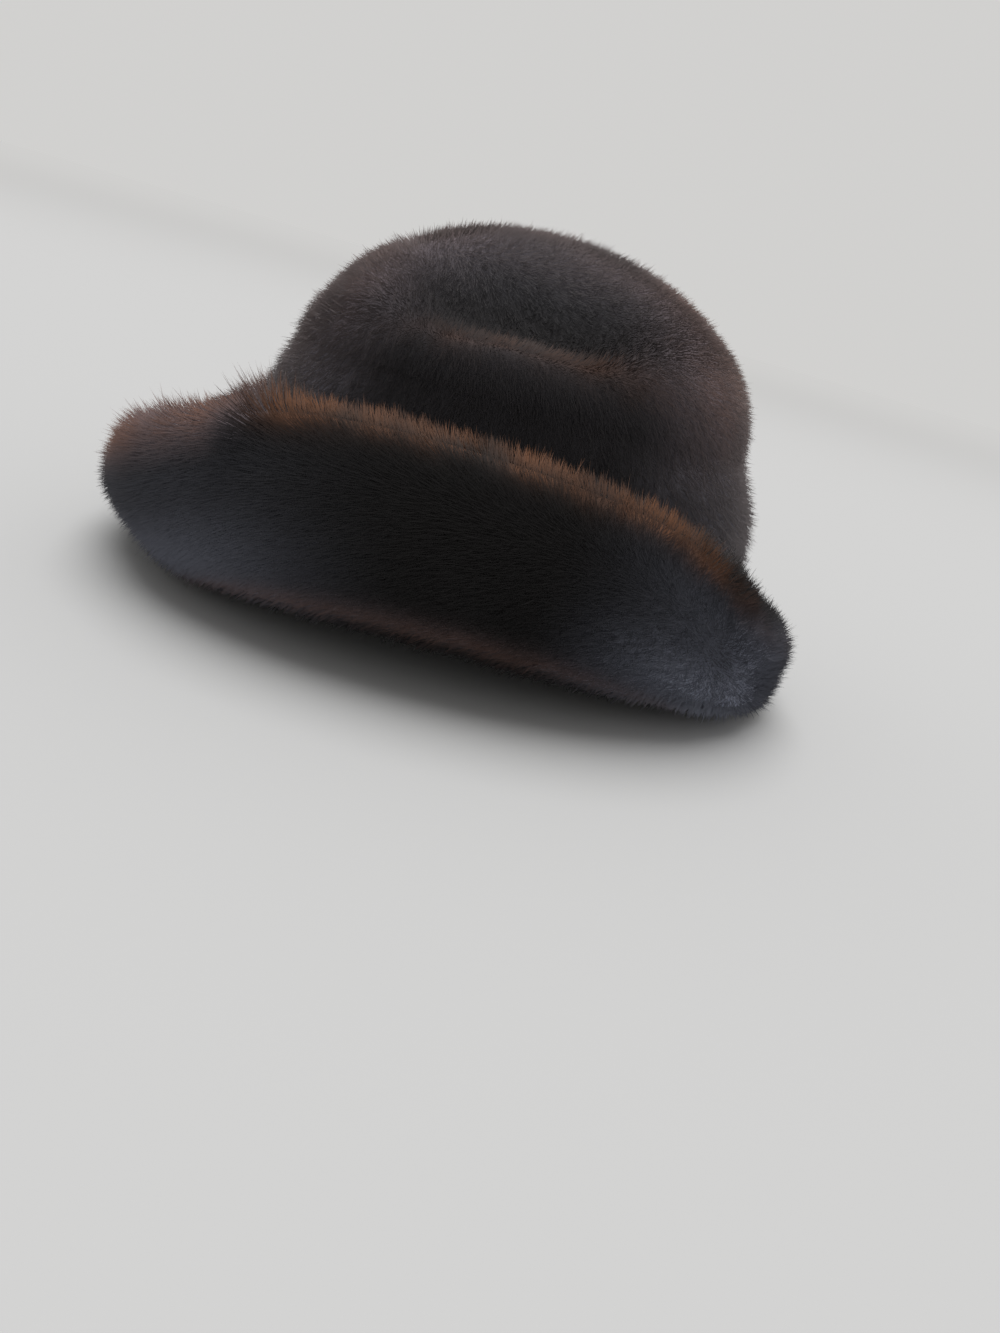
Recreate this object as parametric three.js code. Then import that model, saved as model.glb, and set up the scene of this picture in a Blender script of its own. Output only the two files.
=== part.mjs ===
// Fur fedora: a domed crown with a long dent on each side of its top, and a wide padded brim.
// The brim is rolled high at both sides and dips at the front and at the back.
// Units are millimetres. The front is -Y, the back is +Y, the wearer's left is +X and up is +Z.
// The origin is under the middle of the brim, on the surface that the hat rests on.

import * as THREE from "three";

// Head opening, an oval for a head of 57 cm round
const openingLength = 200;
const openingWidth = 164;
const crownSetBack = 11;

// Skin with its dense fur
const wallThickness = 16;
const seamGap = 0.3;

// Heights of the two seams above the surface that the hat rests on
const brimSeamHeight = 30;
const tipSeamHeight = 110;

// Brim outline from above
const brimLength = 328;
const brimWidth = 298;
const brimOvalPower = 2.12;
const crownOvalPower = 2.16;

// Outside of the crown's side: its reach to the front, the back and each side from the middle of the head opening
const crownSections = [
  { height: 30, front: 116.5, back: 119, side: 97.5 },
  { height: 50, front: 115, back: 119, side: 98 },
  { height: 72, front: 111, back: 117.5, side: 97.5 },
  { height: 93, front: 104, back: 112, side: 95.5 },
  { height: 110, front: 98.5, back: 106, side: 93 },
];

// Brim from front to back: lift of its underside, height of its rim, thickness of its roll, and its lower corner:
// how far that stays in from the brim's edge, and its height as a share of the brim's
const brimSections = [
  { turn: 0, lift: -1.5, rim: 46, roll: 29, corner: 8, cornerShare: 0.3 },
  { turn: 35, lift: 1.5, rim: 67, roll: 28, corner: 8, cornerShare: 0.3 },
  { turn: 65, lift: 11, rim: 94, roll: 26, corner: 7, cornerShare: 0.27 },
  { turn: 90, lift: 15, rim: 100, roll: 25, corner: 7, cornerShare: 0.26 },
  { turn: 120, lift: 10, rim: 89, roll: 26, corner: 7, cornerShare: 0.26 },
  { turn: 150, lift: 1, rim: 58, roll: 28, corner: 4, cornerShare: 0.18 },
  { turn: 180, lift: -1.5, rim: 38, roll: 29, corner: 3, cornerShare: 0.14 },
];

// Top of the crown
const domeRise = 65;
const domePower = { front: 1.95, side: 2.5, back: 2.05 };
const dent = { place: 66, halfWidth: 27, halfLength: 58, share: 0.58, forward: 6 };
const tipWall = 14;

// Locks of fur, in staggered rows
const lockHeight = 1.4;
const lockLean = 2.8;

// Fineness of the faceted surfaces
const columns = 84;
const brimRows = 22;
const crownRows = 10;
const tipRings = 9;
const innerRings = 5;

const quarterTurn = Math.PI / 2;

// Value of a column between the rows of a table, level at both ends of the table
function smoothBetween(rows, key, name, at) {
  const last = rows.length - 1;
  const clamped = Math.min(Math.max(at, rows[0][key]), rows[last][key]);
  let row = 0;
  while (row < last - 1 && rows[row + 1][key] < clamped) row += 1;
  const slope = (k) => {
    if (k === 0 || k === last) return 0;
    return (rows[k + 1][name] - rows[k - 1][name]) / (rows[k + 1][key] - rows[k - 1][key]);
  };
  const span = rows[row + 1][key] - rows[row][key];
  const s = (clamped - rows[row][key]) / span;
  const rise = 3 * s * s - 2 * s * s * s;
  const leave = s * (1 - s) * (1 - s) * span * slope(row);
  const arrive = s * s * (s - 1) * span * slope(row + 1);
  return rows[row][name] + (rows[row + 1][name] - rows[row][name]) * rise + leave + arrive;
}

// Direction of a point on an oval: across is 1 at the wearer's left, along is 1 at the back
function ovalPoint(turn, power) {
  const across = Math.sin(turn);
  const along = -Math.cos(turn);
  return {
    across: Math.sign(across) * Math.abs(across) ** (2 / power),
    along: Math.sign(along) * Math.abs(along) ** (2 / power),
  };
}

function brimEdge(turn) {
  const p = ovalPoint(turn, brimOvalPower);
  return new THREE.Vector2(p.across * brimWidth / 2, p.along * brimLength / 2);
}

function openingEdge(turn) {
  const p = ovalPoint(turn, crownOvalPower);
  return new THREE.Vector2(p.across * openingWidth / 2, crownSetBack + p.along * openingLength / 2);
}

function crownEdge(turn, height, inset) {
  const p = ovalPoint(turn, crownOvalPower);
  const along = p.along < 0
    ? p.along * (smoothBetween(crownSections, "height", "front", height) - inset)
    : p.along * (smoothBetween(crownSections, "height", "back", height) - inset);
  const across = p.across * (smoothBetween(crownSections, "height", "side", height) - inset);
  return new THREE.Vector2(across, crownSetBack + along);
}

// Every second point stands out from the surface and leans along the fur, as the tip of a lock does
function lockAt(column, row, outward, flow, size) {
  const stands = (column + row) % 2 === 0 ? 1 : -0.4;
  return outward.clone().multiplyScalar(lockHeight * stands * size)
    .addScaledVector(flow, stands > 0 ? lockLean * size : 0);
}

// Closed body from rings of equal length: either rings that meet again, or rings between two poles
function bodyFromRings(rings, poles) {
  const vertices = [];
  const faces = [];
  const size = rings[0].length;
  rings.forEach((ring) => ring.forEach((p) => vertices.push(p.x, p.y, p.z)));
  const bands = poles ? rings.length - 1 : rings.length;
  for (let r = 0; r < bands; r += 1) {
    for (let c = 0; c < size; c += 1) {
      const next = (c + 1) % size;
      const here = r * size;
      const beyond = ((r + 1) % rings.length) * size;
      faces.push(here + c, beyond + c, beyond + next);
      faces.push(here + c, beyond + next, here + next);
    }
  }
  if (poles) {
    const first = vertices.length / 3;
    vertices.push(poles[0].x, poles[0].y, poles[0].z, poles[1].x, poles[1].y, poles[1].z);
    const lastRing = (rings.length - 1) * size;
    for (let c = 0; c < size; c += 1) {
      const next = (c + 1) % size;
      faces.push(first, c, next);
      faces.push(first + 1, lastRing + next, lastRing + c);
    }
  }
  if (signedVolume(vertices, faces) < 0) {
    for (let f = 0; f < faces.length; f += 3) {
      const swap = faces[f + 1];
      faces[f + 1] = faces[f + 2];
      faces[f + 2] = swap;
    }
  }
  const geometry = new THREE.BufferGeometry();
  geometry.setAttribute("position", new THREE.Float32BufferAttribute(vertices, 3));
  geometry.setIndex(faces);
  geometry.computeVertexNormals();
  return geometry;
}

function signedVolume(vertices, faces) {
  let sum = 0;
  const corner = (k) => new THREE.Vector3().fromArray(vertices, 3 * k);
  for (let f = 0; f < faces.length; f += 3) {
    sum += corner(faces[f]).dot(corner(faces[f + 1]).cross(corner(faces[f + 2])));
  }
  return sum / 6;
}

// Section of the brim across its roll, as distance out from the head opening and height
function brimSection(turn) {
  const degrees = THREE.MathUtils.radToDeg(Math.min(turn, 2 * Math.PI - turn));
  const lift = smoothBetween(brimSections, "turn", "lift", degrees);
  const rim = smoothBetween(brimSections, "turn", "rim", degrees);
  const roll = smoothBetween(brimSections, "turn", "roll", degrees);
  const corner = smoothBetween(brimSections, "turn", "corner", degrees);
  const cornerShare = smoothBetween(brimSections, "turn", "cornerShare", degrees);
  const reach = brimEdge(turn).distanceTo(openingEdge(turn));
  const wall = crownEdge(turn, brimSeamHeight, 0).distanceTo(openingEdge(turn));
  const tall = rim - lift;
  const valley = wall + (reach - roll - wall) * 0.45;
  const outline = [
    [0, brimSeamHeight],
    [1, lift + (brimSeamHeight - lift) * 0.5],
    [9, lift + 2.5],
    [24, lift],
    [reach * 0.62, lift + 3],
    [reach - corner, lift + tall * cornerShare],
    [reach, lift + tall * 0.56],
    [reach - 3, rim - roll * 0.32],
    [reach - roll * 0.5, rim],
    [reach - roll + 1, rim - roll * 0.3],
    [reach - roll - 2, lift + tall * 0.52],
    [valley, brimSeamHeight + 5],
    [wall, brimSeamHeight],
  ];
  const curve = new THREE.SplineCurve(outline.map(([out, up]) => new THREE.Vector2(out, up)));
  return curve.getSpacedPoints(brimRows - 1);
}

function brimGeometry() {
  const rings = Array.from({ length: brimRows }, () => []);
  for (let column = 0; column < columns; column += 1) {
    const turn = column / columns * 2 * Math.PI;
    const start = openingEdge(turn);
    const out = brimEdge(turn).sub(start).normalize();
    const section = brimSection(turn);
    const around = new THREE.Vector3(-out.y, out.x, 0);
    section.forEach((point, row) => {
      const place = new THREE.Vector3(start.x + out.x * point.x, start.y + out.y * point.x, point.y);
      if (row > 0 && row < brimRows - 1) {
        const run = section[row + 1].clone().sub(section[row - 1]).normalize();
        const outward = new THREE.Vector3(out.x * run.y, out.y * run.y, -run.x);
        const forward = around.clone().multiplyScalar(Math.sin(turn) > 0 ? -1 : 1);
        place.add(lockAt(column, row, outward, forward, 1));
      }
      place.z = Math.max(place.z, 0);
      rings[row].push(place);
    });
  }
  return bodyFromRings(rings);
}

function crownSideGeometry() {
  const rings = [];
  const low = brimSeamHeight + seamGap;
  const ringAt = (height, inset, locks) => {
    const ring = [];
    for (let column = 0; column < columns; column += 1) {
      const turn = column / columns * 2 * Math.PI;
      const edge = crownEdge(turn, height, inset);
      const place = new THREE.Vector3(edge.x, edge.y, height);
      if (locks) {
        const outward = new THREE.Vector3(edge.x, edge.y - crownSetBack, 0).normalize();
        place.add(lockAt(column, rings.length, outward, new THREE.Vector3(0, 0, -1), 1));
      }
      ring.push(place);
    }
    rings.push(ring);
  };
  for (let row = 0; row <= crownRows; row += 1) {
    const height = low + (tipSeamHeight - low) * row / crownRows;
    ringAt(height, 0, row > 0 && row < crownRows);
  }
  for (let row = innerRings; row >= 0; row -= 1) {
    const height = low + (tipSeamHeight - low) * row / innerRings;
    ringAt(height, wallThickness, false);
  }
  return bodyFromRings(rings);
}

// Power of the dome's curve between its front, sides and back
function domePowerAt(turn) {
  const along = -Math.cos(turn);
  const end = along < 0 ? domePower.front : domePower.back;
  return domePower.side + (end - domePower.side) * along * along;
}

// Share of the dome's rise that is left beside the two dents
function dentAt(across, along) {
  const sideways = Math.exp(-(((Math.abs(across) - dent.place) / dent.halfWidth) ** 2));
  const lengthways = Math.exp(-(Math.abs((along + dent.forward) / dent.halfLength) ** 3));
  return 1 - dent.share * sideways * lengthways;
}

function domePoint(turn, climb, inset, rise) {
  const power = domePowerAt(turn);
  const edge = crownEdge(turn, tipSeamHeight, inset).sub(new THREE.Vector2(0, crownSetBack));
  const spread = Math.cos(climb) ** (2 / power);
  const lifted = Math.sin(climb) ** (2 / power) * rise;
  const across = edge.x * spread;
  const along = edge.y * spread;
  const height = tipSeamHeight + seamGap + lifted * dentAt(across, along);
  return new THREE.Vector3(across, crownSetBack + along, height);
}

function crownTipGeometry() {
  const rings = [];
  const low = tipSeamHeight + seamGap;
  for (let ring = tipRings; ring >= 0; ring -= 1) {
    const climb = ring / (tipRings + 1) * quarterTurn;
    const points = [];
    for (let column = 0; column < columns; column += 1) {
      const turn = column / columns * 2 * Math.PI;
      const place = domePoint(turn, climb, 0, domeRise);
      if (ring > 0) {
        const edge = crownEdge(turn, tipSeamHeight, 0);
        const middle = new THREE.Vector3(0, crownSetBack, low);
        const outward = place.clone().sub(middle).normalize();
        const inward = new THREE.Vector3(-edge.x, crownSetBack - edge.y, 0).normalize();
        place.add(lockAt(column, ring, outward, inward, Math.cos(climb)));
      }
      points.push(place);
    }
    rings.push(points);
  }
  for (let ring = 0; ring <= innerRings; ring += 1) {
    const climb = ring / (innerRings + 1) * quarterTurn;
    const points = [];
    for (let column = 0; column < columns; column += 1) {
      const turn = column / columns * 2 * Math.PI;
      points.push(domePoint(turn, climb, wallThickness, domeRise - tipWall));
    }
    rings.push(points);
  }
  const top = new THREE.Vector3(0, crownSetBack, low + domeRise);
  const ceiling = new THREE.Vector3(0, crownSetBack, low + domeRise - tipWall);
  return bodyFromRings(rings, [top, ceiling]);
}

function furPiece(name, geometry, colour) {
  const material = new THREE.MeshStandardMaterial({ color: colour, roughness: 0.85, metalness: 0 });
  const mesh = new THREE.Mesh(geometry, material);
  mesh.name = name;
  return mesh;
}

const hat = new THREE.Group();
hat.add(furPiece("brim", brimGeometry(), 0x33211a));
hat.add(furPiece("crown_side", crownSideGeometry(), 0x2a1b18));
hat.add(furPiece("crown_tip", crownTipGeometry(), 0x2f1e1a));

export default hat;
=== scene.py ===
# Fur fedora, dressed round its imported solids: each solid gets a smooth skin just inside it,
# and the fur stands on the skin as real tapered hairs.
import math
import bmesh
import bpy
import numpy as np
from mathutils import Matrix, Vector


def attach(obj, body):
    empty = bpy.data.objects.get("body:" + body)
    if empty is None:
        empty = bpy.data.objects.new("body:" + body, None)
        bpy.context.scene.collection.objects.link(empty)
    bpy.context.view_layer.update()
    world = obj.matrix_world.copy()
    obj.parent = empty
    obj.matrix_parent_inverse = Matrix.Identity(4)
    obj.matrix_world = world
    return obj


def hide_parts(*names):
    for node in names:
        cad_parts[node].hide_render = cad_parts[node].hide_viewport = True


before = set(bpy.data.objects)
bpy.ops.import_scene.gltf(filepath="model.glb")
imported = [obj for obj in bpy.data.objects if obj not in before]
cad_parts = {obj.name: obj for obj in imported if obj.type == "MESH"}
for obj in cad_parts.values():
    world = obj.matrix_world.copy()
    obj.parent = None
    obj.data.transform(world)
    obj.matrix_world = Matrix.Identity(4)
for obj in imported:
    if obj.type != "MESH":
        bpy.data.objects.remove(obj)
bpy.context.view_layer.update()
mm = 0.001

# Sizes of the hat, the same as its solids', in millimetres. Only the dome's half width and half
# length are rounded: they serve for the lie and the colour of its fur
hat = {
    "openingLength": 200, "openingWidth": 164, "crownSetBack": 11, "wallThickness": 16, "seamGap": 0.3,
    "brimSeamHeight": 30, "tipSeamHeight": 110, "brimLength": 328, "brimWidth": 298,
    "brimOvalPower": 2.12, "crownOvalPower": 2.16,
    "domeRise": 65, "domeHalfWidth": 93, "domeHalfLength": 102, "tipWall": 14,
    "domePower": {"front": 1.95, "side": 2.5, "back": 2.05},
    "dent": {"place": 66, "halfWidth": 27, "halfLength": 58, "share": 0.58, "forward": 6},
}
crownTable = {
    "height": (30, 50, 72, 93, 110),
    "front": (116.5, 115, 111, 104, 98.5),
    "back": (119, 119, 117.5, 112, 106),
    "side": (97.5, 98, 97.5, 95.5, 93),
}
brimTable = {
    "turn": (0, 35, 65, 90, 120, 150, 180),
    "lift": (-1.5, 1.5, 11, 15, 10, 1, -1.5),
    "rim": (46, 67, 94, 100, 89, 58, 38),
    "roll": (29, 28, 26, 25, 26, 28, 29),
    "corner": (8, 8, 7, 7, 7, 4, 3),
    "cornerShare": (0.3, 0.3, 0.27, 0.26, 0.26, 0.18, 0.14),
}


def smoothBetween(table, key, name, at):  # a column of a table between its rows, level at both ends
    x, y = np.array(table[key], float), np.array(table[name], float)
    at = np.clip(np.asarray(at, float), x[0], x[-1])
    row = np.clip(np.searchsorted(x, at) - 1, 0, len(x) - 2)
    slope = np.zeros(len(x))
    slope[1:-1] = (y[2:] - y[:-2]) / (x[2:] - x[:-2])
    span = x[row + 1] - x[row]
    s = (at - x[row]) / span
    rise = 3 * s * s - 2 * s ** 3
    leave = s * (1 - s) ** 2 * span * slope[row]
    arrive = s * s * (s - 1) * span * slope[row + 1]
    return y[row] + (y[row + 1] - y[row]) * rise + leave + arrive


def ovalPoint(turn, power):  # across is 1 at the wearer's left, along is 1 at the back
    across, along = np.sin(turn), -np.cos(turn)
    return np.sign(across) * abs(across) ** (2 / power), np.sign(along) * abs(along) ** (2 / power)


def openingEdge(turn):
    across, along = ovalPoint(turn, hat["crownOvalPower"])
    x = across * hat["openingWidth"] / 2
    y = hat["crownSetBack"] + along * hat["openingLength"] / 2
    return np.stack([x, y], -1)


def brimEdge(turn):
    across, along = ovalPoint(turn, hat["brimOvalPower"])
    return np.stack([across * hat["brimWidth"] / 2, along * hat["brimLength"] / 2], -1)


def crownEdge(turn, height, inset=0):
    across, along = ovalPoint(turn, hat["crownOvalPower"])
    front = smoothBetween(crownTable, "height", "front", height) - inset
    back = smoothBetween(crownTable, "height", "back", height) - inset
    side = smoothBetween(crownTable, "height", "side", height) - inset
    return np.stack([across * side, hat["crownSetBack"] + along * np.where(along < 0, front, back)], -1)


def splinePoints(outline, count):  # points at equal steps along a smooth line through the outline
    stretchSteps = 25  # fine steps between two of the outline's points
    p = np.vstack([outline[:1], outline, outline[-1:]])
    t = np.linspace(0, 1, stretchSteps + 1)[:-1, None]
    fine = []
    for a, b, c, d in zip(p[:-3], p[1:-2], p[2:-1], p[3:]):
        bend = a - 2.5 * b + 2 * c - 0.5 * d
        swing = 1.5 * b - 1.5 * c + 0.5 * d - 0.5 * a
        fine.append(b + 0.5 * t * (c - a) + t ** 2 * bend + t ** 3 * swing)
    fine = np.vstack([*fine, outline[-1:]])
    run = np.concatenate([[0], np.cumsum(np.linalg.norm(np.diff(fine, axis=0), axis=1))])
    at = np.linspace(0, run[-1], count)
    return np.stack([np.interp(at, run, fine[:, 0]), np.interp(at, run, fine[:, 1])], -1)


def brimSection(turn, count):  # across the brim's roll: distance out from the head opening, and height
    degrees = math.degrees(min(turn, 2 * math.pi - turn))
    names = ("lift", "rim", "roll", "corner", "cornerShare")
    row = [float(smoothBetween(brimTable, "turn", name, degrees)) for name in names]
    lift, rim, roll, corner, cornerShare = row
    seam = hat["brimSeamHeight"]
    start = openingEdge(turn)
    reach = np.linalg.norm(brimEdge(turn) - start)
    wall = np.linalg.norm(crownEdge(turn, seam) - start)
    tall = rim - lift
    valley = wall + (reach - roll - wall) * 0.45
    outline = np.array([
        [0, seam],
        [1, lift + (seam - lift) * 0.5],
        [9, lift + 2.5],
        [24, lift],
        [reach * 0.62, lift + 3],
        [reach - corner, lift + tall * cornerShare],
        [reach, lift + tall * 0.56],
        [reach - 3, rim - roll * 0.32],
        [reach - roll * 0.5, rim],
        [reach - roll + 1, rim - roll * 0.3],
        [reach - roll - 2, lift + tall * 0.52],
        [valley, seam + 5],
        [wall, seam],
    ])
    return splinePoints(outline, count)


def domePoints(turn, climb, inset, rise):
    along = -np.cos(turn)
    end = np.where(along < 0, hat["domePower"]["front"], hat["domePower"]["back"])
    power = hat["domePower"]["side"] + (end - hat["domePower"]["side"]) * along ** 2
    edge = crownEdge(turn, hat["tipSeamHeight"], inset) - [0, hat["crownSetBack"]]
    spread = np.cos(climb) ** (2 / power)
    x, y = edge[..., 0] * spread, edge[..., 1] * spread
    dent = hat["dent"]
    sideways = np.exp(-(((abs(x) - dent["place"]) / dent["halfWidth"]) ** 2))
    lengthways = np.exp(-(abs((y + dent["forward"]) / dent["halfLength"]) ** 3))
    left = 1 - dent["share"] * sideways * lengthways
    height = hat["tipSeamHeight"] + hat["seamGap"] + np.sin(climb) ** (2 / power) * rise * left
    return np.stack([x, hat["crownSetBack"] + y, height], -1)


def peak(x, middle, halfWidth):
    return np.exp(-(((x - middle) / halfWidth) ** 2))


def ramp(x, low, high):
    s = np.clip((x - low) / (high - low), 0, 1)
    return s * s * (3 - 2 * s)


def ripple(p, size, seed):  # smooth unevenness that depends on the place alone
    waves, highest = 5, 3.2  # the sum of so many waves is seldom higher than this
    rng = np.random.default_rng(seed)
    total = np.zeros(p.shape[:-1])
    for _ in range(waves):
        wave = rng.normal(size=3)
        wave *= 2 * math.pi / size / np.linalg.norm(wave) * rng.uniform(0.7, 1.5)
        total += np.sin(p @ wave + rng.uniform(0, 2 * math.pi))
    return total / highest  # mostly between -1 and 1


def groomed(amounts, **places):  # the amount that holds all over, and what each place adds to it
    return amounts["all"] + sum(amounts[name] * place for name, place in places.items())


# Closed skin from rings of points, with its grooming fields as attributes
def ringFaces(ringCount, size, poles):
    faces = []
    bands = ringCount - 1 if poles else ringCount
    column = np.arange(size)
    following = (column + 1) % size
    for r in range(bands):
        here, beyond = r * size, (r + 1) % ringCount * size
        band = [here + column, beyond + column, beyond + following, here + following]
        faces += np.stack(band, -1).tolist()
    if poles:
        first, last = ringCount * size, (ringCount - 1) * size
        faces += np.stack([np.full(size, first), column, following], -1).tolist()
        faces += np.stack([np.full(size, first + 1), last + following, last + column], -1).tolist()
    return faces


def makeSkin(name, rings, poles=None, rims=()):  # the rims are the rings where the skin has a sharp edge
    points = rings.reshape(-1, 3)
    if poles is not None:
        points = np.vstack([points, poles])
    faces = ringFaces(len(rings), rings.shape[1], poles is not None)
    mesh = bpy.data.meshes.new(name)
    mesh.from_pydata((points * mm).tolist(), [], faces)
    corners = points[[f[:3] for f in faces]]
    if np.einsum("ij,ij->", corners[:, 0], np.cross(corners[:, 1], corners[:, 2])) < 0:
        mesh.flip_normals()
    mesh.polygons.foreach_set("use_smooth", np.ones(len(mesh.polygons), bool))
    ends = np.empty(len(mesh.edges) * 2, np.int32)
    mesh.edges.foreach_get("vertices", ends)
    ringOf = ends.reshape(-1, 2) // rings.shape[1]
    sharp = (ringOf[:, 0] == ringOf[:, 1]) & np.isin(ringOf[:, 0], rims)
    mesh.attributes.new("sharp_edge", "BOOLEAN", "EDGE").data.foreach_set("value", sharp)
    mesh.update()
    skin = bpy.data.objects.new(name, mesh)
    bpy.context.collection.objects.link(skin)
    return skin


def readVectors(items, name, count):
    out = np.empty(count * 3, np.float32)
    items.foreach_get(name, out)
    return out.reshape(-1, 3).astype(float)


def readField(mesh, name):
    out = np.empty(len(mesh.vertices), np.float32)
    mesh.attributes[name].data.foreach_get("value", out)
    return out


def skinPoints(skin):  # places in millimetres, and outward normals
    mesh = skin.data
    count = len(mesh.vertices)
    return readVectors(mesh.vertices, "co", count) / mm, readVectors(mesh.vertex_normals, "vector", count)


def setPoints(skin, points):
    skin.data.vertices.foreach_set("co", (points * mm).astype(np.float32).ravel())
    skin.data.update()


def setField(mesh, name, values):
    vector = values.ndim == 2
    field = mesh.attributes.new(name, "FLOAT_VECTOR" if vector else "FLOAT", "POINT")
    field.data.foreach_set("vector" if vector else "value", values.astype(np.float32).ravel())


def setShare(mesh, name, values):
    setField(mesh, name, np.clip(values, 0, 1))


def alongSkin(direction, normal):  # the part of a direction that lies along the skin, made length 1
    flat = direction - normal * np.einsum("ij,ij->i", direction, normal)[:, None]
    return flat / np.maximum(np.linalg.norm(flat, axis=1), 1e-3)[:, None]


# Shader maths as expressions: a value wraps a socket, and working on values adds their nodes
class Value:
    def __init__(self, tree, socket):
        self.tree, self.socket = tree, socket

    def node(self, kind, settings=None, **inputs):  # i0, i1 and so on are inputs by number
        made = self.tree.nodes.new(kind)
        for name, value in (settings or {}).items():
            setattr(made, name, value)
        for name, value in inputs.items():
            socket = made.inputs[int(name[1:]) if name[1:].isdigit() else name]
            if isinstance(value, Value):
                self.tree.links.new(value.socket, socket)
            else:
                socket.default_value = value
        return made

    def math(self, operation, *values):
        inputs = {f"i{k}": value for k, value in enumerate(values)}
        return Value(self.tree, self.node("ShaderNodeMath", {"operation": operation}, **inputs).outputs[0])

    def __add__(self, other):
        return self.math("ADD", self, other)

    def __radd__(self, other):
        return self.math("ADD", other, self)

    def __sub__(self, other):
        return self.math("SUBTRACT", self, other)

    def __rsub__(self, other):
        return self.math("SUBTRACT", other, self)

    def __mul__(self, other):
        return self.math("MULTIPLY", self, other)

    def __rmul__(self, other):
        return self.math("MULTIPLY", other, self)

    def __pow__(self, other):
        return self.math("POWER", self, other)

    def mixed(self, first, second):  # two colours by this share
        made = self.node("ShaderNodeMix", {"data_type": "RGBA"}, i0=self, i6=first, i7=second)
        return Value(self.tree, made.outputs[2])

    def brightened(self, level):  # this colour, made so many times as bright
        made = self.node("ShaderNodeHueSaturation", None, Color=self, Value=level)
        return Value(self.tree, made.outputs["Color"])


def newMaterial(name, roughness, specular):
    material = bpy.data.materials.new(name)
    material.use_nodes = True
    tree = material.node_tree
    shader = tree.nodes["Principled BSDF"]
    shader.inputs["Roughness"].default_value = roughness
    shader.inputs["Specular IOR Level"].default_value = specular
    return material, Value(tree, None), shader


def fieldValue(start, name):
    return Value(start.tree, start.node("ShaderNodeAttribute", {"attribute_name": name}).outputs["Fac"])


def placeValue(start):
    return Value(start.tree, start.node("ShaderNodeTexCoord").outputs["Object"])


def noiseValue(start, scale, detail=2.0, roughness=0.5):
    inputs = {"Vector": placeValue(start), "Scale": scale, "Detail": detail, "Roughness": roughness}
    return Value(start.tree, start.node("ShaderNodeTexNoise", None, **inputs).outputs["Fac"])


def colour(r, g, b):
    return (r, g, b, 1)


# Fur colour: dark at the roots, with painted light mixed in: a warm brown towards the tips, where light
# from above shines into them, and a blue-grey painted sheen, the reflection of the pale surroundings, where
# the fur lies flat.
# Under it lies a dense short underfur, and inside is a matt dark felt
furLook = {
    "dark": colour(0.0118, 0.0108, 0.0108),
    "warmLight": colour(0.168, 0.067, 0.027),
    "coolSheen": colour(0.33, 0.352, 0.44),
    "patchScale": 26, "leastWarm": 0.7, "patchWarm": 0.6, "rootWarm": 0.3,
    "rootLevel": 1.12, "tipDarker": 0.22, "hairToHair": 0.12,
    "roughness": 0.6, "specular": 0.12, "sheenRoughness": 0.45,
}
underfurLook = {
    "warmth": 0.4, "level": 1.5, "fineLevel": 0.8, "fineScale": 900, "patchScale": 60,
    "feltDark": colour(0.018, 0.011, 0.008), "feltPale": colour(0.034, 0.022, 0.016), "feltFine": 0.4,
    "roughness": 0.9, "specular": 0.15, "bump": 0.35, "bumpDepth": 0.0006,
}


# The dark fur with its painted cool sheen and painted warm light, in uneven patches
def bodyColour(start, along):
    patch = noiseValue(start, furLook["patchScale"], 3)
    body = fieldValue(start, "coolSheen").mixed(furLook["dark"], furLook["coolSheen"])
    warmth = fieldValue(start, "warmLight") * (furLook["leastWarm"] + furLook["patchWarm"] * patch) * along
    return warmth.mixed(body, furLook["warmLight"])


def makeFurMaterial(name, sheen):
    material, start, shader = newMaterial(name, furLook["roughness"], furLook["specular"])
    along = fieldValue(start, "along")
    shade = fieldValue(start, "shade")
    hairColour = bodyColour(start, furLook["rootWarm"] + (1 - furLook["rootWarm"]) * along)
    # Painted light: each hair is painted lighter at the root than at the tip, to make up for the shade deep
    # in the fur, and its tone varies at random from hair to hair
    level = furLook["rootLevel"] - furLook["tipDarker"] * along + furLook["hairToHair"] * (shade - 0.5)
    start.tree.links.new(hairColour.brightened(level).socket, shader.inputs["Base Color"])
    shader.inputs["Sheen Weight"].default_value = sheen["weight"]
    shader.inputs["Sheen Tint"].default_value = sheen["tint"]
    shader.inputs["Sheen Roughness"].default_value = furLook["sheenRoughness"]
    return material


def makeSkinMaterial(name):
    look = underfurLook
    material, start, shader = newMaterial(name, look["roughness"], look["specular"])
    fine = noiseValue(start, look["fineScale"], 3, 0.7)
    patch = noiseValue(start, look["patchScale"], 3)
    # Painted light: the underfur has the fur's colour painted lighter, so that the shade between the hairs
    # shows less
    under = bodyColour(start, look["warmth"]).brightened(look["level"] + look["fineLevel"] * fine)
    feltShare = patch * (1 - look["feltFine"]) + fine * look["feltFine"]
    felt = feltShare.mixed(look["feltDark"], look["feltPale"])
    both = fieldValue(start, "inside").mixed(under, felt)
    start.tree.links.new(both.socket, shader.inputs["Base Color"])
    relief = {"Strength": look["bump"], "Distance": look["bumpDepth"], "Height": fine}
    bump = start.node("ShaderNodeBump", None, **relief)
    start.tree.links.new(bump.outputs["Normal"], shader.inputs["Normal"])
    return material


# One hair: a point at the root, widest a third of the way up, a point at the tip.
# The ranges are shares of the length and width that the piece's fur has there
hairShape = {
    "widestAt": 0.34, "halfWidth": 0.5, "arch": 0.8, "tipDrop": 0.15, "roundness": 0.2,
    "lengths": (0.84, 1.12), "widths": (0.7, 1.2), "guardLonger": 0.35, "guardPower": 9.0,
    "upright": 0.4, "uprightPower": 3.0, "tuftSize": 0.008, "restHeight": 0.0002, "restLift": 0.0004,
    "tries": 4.0, "packing": 0.59,  # roots tried and kept in a square as wide as their least distance
    "mapRoot": 0.03, "mapLength": 0.94, "mapLow": 0.02, "mapSpread": 0.95, "mapHalfWidth": 0.012,
}


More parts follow.
